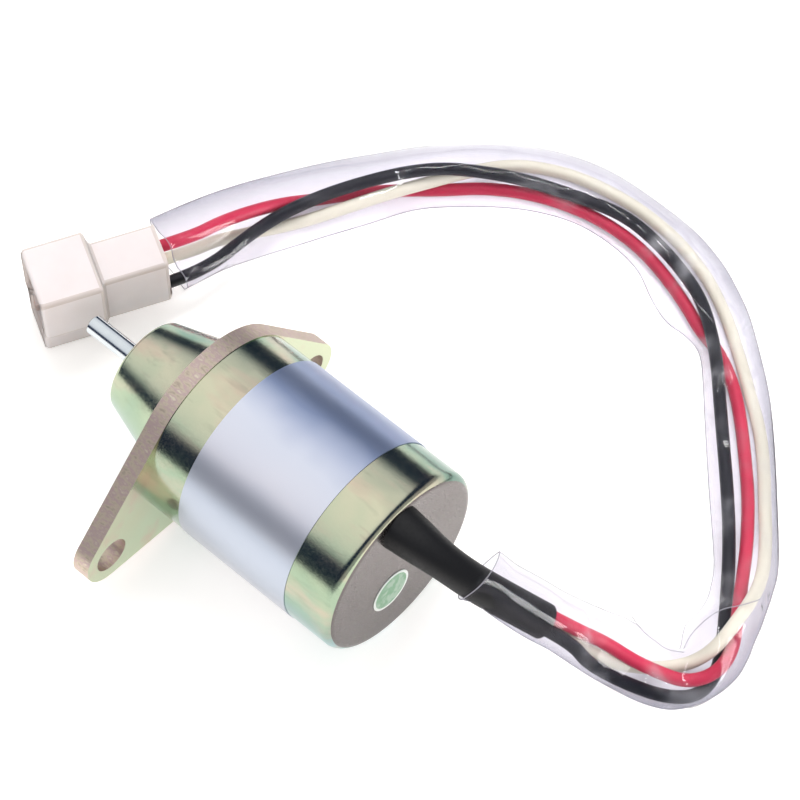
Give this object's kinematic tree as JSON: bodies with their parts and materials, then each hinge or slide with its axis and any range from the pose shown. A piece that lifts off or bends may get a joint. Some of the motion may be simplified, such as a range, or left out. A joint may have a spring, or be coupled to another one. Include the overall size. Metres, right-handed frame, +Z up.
{
  "type": "fuel shutoff solenoid",
  "caption": "Push-type fuel shutoff solenoid: round can, two-ear flange, tapered nose, sprung pin and a cable to a plug.",
  "frame": {"origin": "centre of the flange's mounting face, on the plunger axis", "axes": "-X out along the pin, +X to the cable end, +Z up with the solenoid lying on its side, ears level"},
  "size_m": [0.1612, 0.1392, 0.0404],
  "materials": {
    "zinc_chromate": "yellow chromate over zinc, glossy with faint rainbow tints",
    "sheared_steel": "chromated plate with a rough sheared rim",
    "bright_pin": "bright plated, faint turning marks",
    "machined_iron": "turned soft iron, thin zinc plate",
    "spring_steel": "drawn wire",
    "sintered_bronze": "sintered bronze, matte",
    "rubber": "matte black rubber",
    "nylon_former": "moulded black nylon",
    "enamelled_copper": "enamelled copper winding",
    "winding_tape": "polyester tape",
    "fibre_board": "vulcanised fibre",
    "foil_label": "satin silver foil, blank",
    "green_sticker": "green dot with a white rim",
    "black_sheath": "smooth black cable sheath",
    "black_wire": "black insulation, semi-gloss",
    "red_wire": "red insulation, semi-gloss",
    "white_wire": "cream-white insulation, semi-gloss",
    "clear_sleeve": "thin clear flexible sleeve, creased",
    "milky_nylon": "natural milky nylon, slightly translucent",
    "tin_plate": "tin-plated brass"
  },
  "bodies": {
    "root": {"can": "zinc_chromate", "mounting_flange": "sheared_steel", "nose_housing": "zinc_chromate", "nose_bush": "sintered_bronze", "bump_washer": "rubber", "pole_piece": "machined_iron", "return_spring": "spring_steel", "guide_tube": "tin_plate", "front_flux_washer": "machined_iron", "bobbin": "nylon_former", "pull_coil": "enamelled_copper", "hold_coil": "enamelled_copper", "coil_wrap": "winding_tape", "rear_insulator": "fibre_board", "back_pad": "rubber", "cable_grommet": "rubber", "body_label": "foil_label", "inspection_sticker": "green_sticker", "connector_housing": "milky_nylon", "terminal_black": "tin_plate", "terminal_red": "tin_plate", "terminal_white": "tin_plate", "cable_sheath": "black_sheath", "lead_black": "black_wire", "lead_red": "red_wire", "lead_white": "white_wire", "clear_sleeve": "clear_sleeve"},
    "plunger": {"plunger_pin": "bright_pin", "armature": "machined_iron"}
  },
  "joints": [
    {"name": "plunger_stroke", "type": "slide", "parent": "root", "child": "plunger", "axis": [1, 0, 0], "range_m": [0, 0.007], "stiffness_N_per_m": 1200, "springref_m": -0.008, "deforming": ["return_spring"]}
  ]
}
